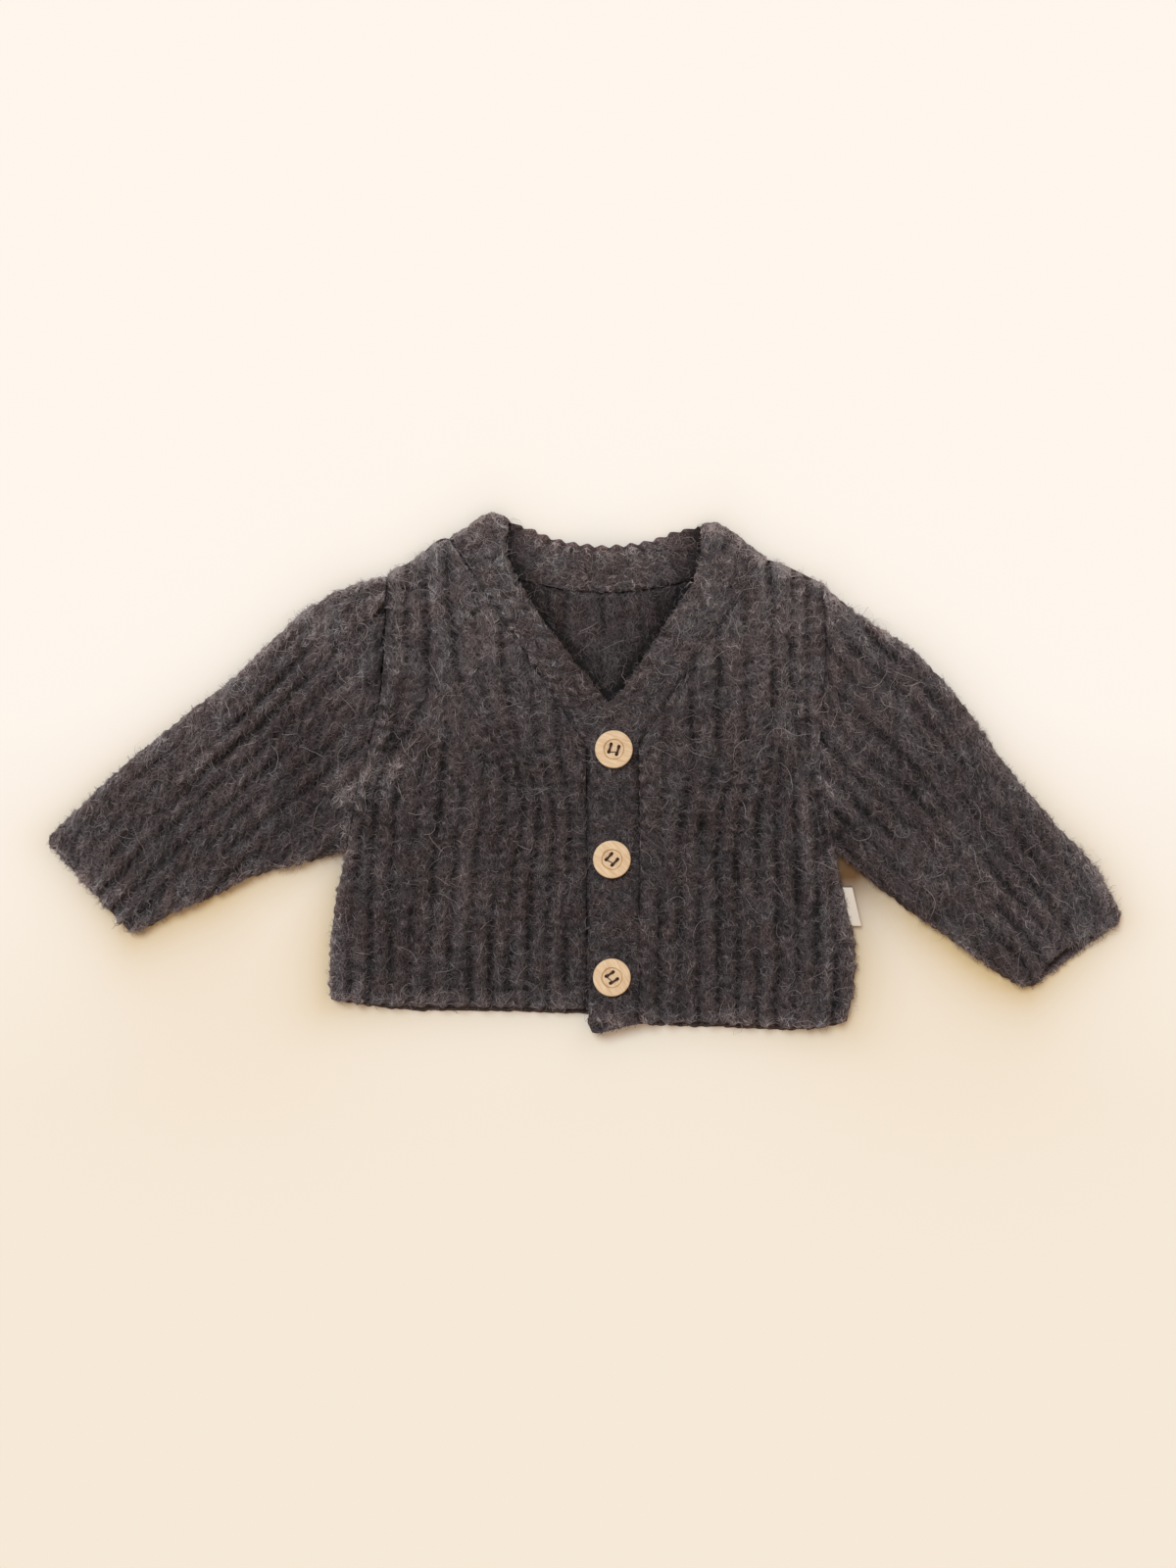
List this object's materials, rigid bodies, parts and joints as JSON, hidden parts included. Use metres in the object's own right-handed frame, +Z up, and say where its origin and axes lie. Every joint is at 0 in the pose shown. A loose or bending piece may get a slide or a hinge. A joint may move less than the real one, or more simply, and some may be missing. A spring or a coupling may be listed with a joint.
{
  "type": "baby cardigan",
  "caption": "Baby cardigan in charcoal chunky rib knit with a V neck, ribbed front band and wooden buttons, fastened and laid flat on its back with the sleeves out.",
  "frame": {"origin": "on the surface that the cardigan lies on, at the middle of its length and width", "axes": "+X along the wearer's left sleeve, +Y to the neck, +Z up from the surface"},
  "size_m": [0.5462, 0.2632, 0.0138],
  "materials": {
    "yarn": "matte brushed wool knit, charcoal heather",
    "button_wood": "satin turned birch",
    "label_tape": "matte woven tape, blank"
  },
  "bodies": {
    "root": {"back": "yarn", "front_right": "yarn", "front_left": "yarn", "sleeve_right": "yarn", "sleeve_left": "yarn", "band": "yarn", "button_top": "button_wood", "button_middle": "button_wood", "button_bottom": "button_wood", "label": "label_tape"}
  },
  "joints": []
}
